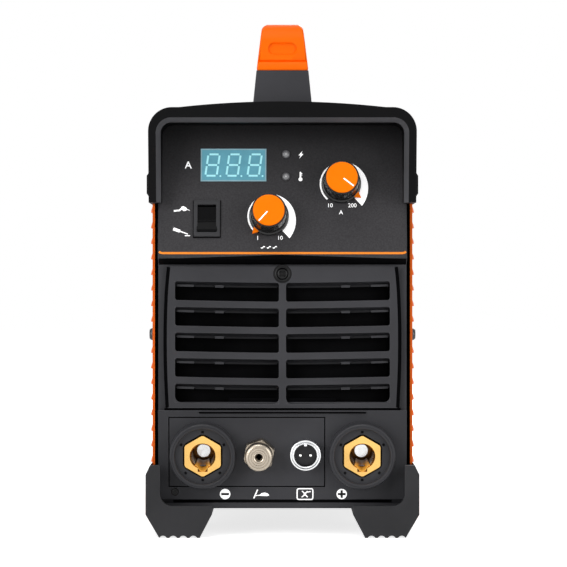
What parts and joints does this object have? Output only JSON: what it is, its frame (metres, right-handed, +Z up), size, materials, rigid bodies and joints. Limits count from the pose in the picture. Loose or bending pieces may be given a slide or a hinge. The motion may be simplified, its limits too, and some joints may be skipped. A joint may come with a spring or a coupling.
{
  "type": "tig welding machine",
  "caption": "Portable inverter TIG welding machine with a top handle, a sloping control panel under a hood, a grille door, two welding sockets, a gas outlet and a control socket.",
  "frame": {"origin": "on the floor under the middle of the machine", "axes": "+Z up; +Y along the machine's length, from the control panel at -Y to the rear wall; +X towards the right of someone facing the panel"},
  "size_m": [0.1552, 0.4, 0.2924],
  "materials": {
    "case_plastic": "fine spark-eroded texture",
    "hood_plastic": "satin",
    "orange_paint": "semi-gloss powder coat",
    "tray_steel": "matt powder coat",
    "foot_rubber": "matt",
    "black_screw": "black oxide",
    "zinc_steel": "bright zinc",
    "bare_aluminium": "extruded",
    "overlay_film": "printed polyester film",
    "display_lens": "tinted, smooth",
    "lamp_lens": "clear diffusing",
    "switch_black": "smooth",
    "knob_plastic": "satin",
    "orange_plastic": "satin",
    "board_green": "solder mask",
    "socket_black": "glass-filled nylon",
    "contact_brass": "turned",
    "nickel_plate": "nickel, brushed",
    "chrome_ring": "bright",
    "fan_plastic": "moulded",
    "hose_rubber": "smooth",
    "capacitor_sleeve": "shrink sleeve",
    "core_ferrite": "sintered ferrite with windings"
  },
  "bodies": {
    "case": {"front_frame": "case_plastic", "rear_frame": "case_plastic", "front_hood": "hood_plastic", "rear_hood": "hood_plastic", "side_cover": "orange_paint", "base_tray": "tray_steel", "foot_front_left": "foot_rubber", "foot_front_right": "foot_rubber", "foot_rear_left": "foot_rubber", "foot_rear_right": "foot_rubber", "foot_screws": "black_screw", "cover_screws": "black_screw", "grille_door": "case_plastic", "grille_screw": "black_screw", "control_overlay": "overlay_film", "display_window": "display_lens", "display_module": "display_lens", "status_lamps": "lamp_lens", "mode_switch_body": "switch_black", "current_pot": "zinc_steel", "postflow_pot": "zinc_steel", "control_board": "board_green", "board_screws": "zinc_steel", "connector_plate": "case_plastic", "negative_socket_body": "socket_black", "negative_socket_contact": "contact_brass", "negative_socket_bolt": "zinc_steel", "positive_socket_body": "socket_black", "positive_socket_contact": "contact_brass", "positive_socket_bolt": "zinc_steel", "gas_outlet": "nickel_plate", "control_socket_shell": "chrome_ring", "control_socket_insert": "socket_black", "control_socket_pins": "contact_brass", "handle_frame": "hood_plastic", "handle_grip": "orange_plastic", "handle_screws": "black_screw", "fan_frame": "fan_plastic", "fan_guard": "case_plastic", "fan_screws": "black_screw", "mains_switch_body": "switch_black", "cable_gland": "socket_black", "gas_inlet": "contact_brass", "gas_valve": "contact_brass", "gas_hose": "hose_rubber", "power_board": "board_green", "board_posts": "bare_aluminium", "heat_sinks": "bare_aluminium", "capacitors": "capacitor_sleeve", "main_transformer": "core_ferrite", "output_choke": "core_ferrite"},
    "current_dial": {"current_knob": "knob_plastic", "current_knob_cap": "orange_plastic", "current_shaft": "bare_aluminium"},
    "postflow_dial": {"postflow_knob": "knob_plastic", "postflow_knob_cap": "orange_plastic", "postflow_shaft": "bare_aluminium"},
    "mode_rocker": {"mode_switch_rocker": "switch_black"},
    "mains_rocker": {"mains_switch_rocker": "switch_black"},
    "fan": {"fan_rotor": "fan_plastic"}
  },
  "joints": [
    {"name": "current_turn", "type": "hinge", "parent": "case", "child": "current_dial", "pos_m": [0.0336, -0.17544, 0.2009], "axis": [0, -0.9848, 0.1736], "range_deg": [0, 265]},
    {"name": "postflow_turn", "type": "hinge", "parent": "case", "child": "postflow_dial", "pos_m": [-0.0077, -0.17872, 0.1823], "axis": [0, -0.9848, 0.1736], "range_deg": [-265, 0]},
    {"name": "mode_rock", "type": "hinge", "parent": "case", "child": "mode_rocker", "pos_m": [-0.0431, -0.17843, 0.18101], "axis": [1, 0, 0], "range_deg": [0, 16]},
    {"name": "mains_rock", "type": "hinge", "parent": "case", "child": "mains_rocker", "pos_m": [-0.038, 0.173, 0.196], "axis": [1, 0, 0], "range_deg": [0, 16]},
    {"name": "fan_spin", "type": "hinge", "parent": "case", "child": "fan", "pos_m": [0, 0.16, 0.088], "axis": [0, 1, 0], "continuous": true}
  ]
}
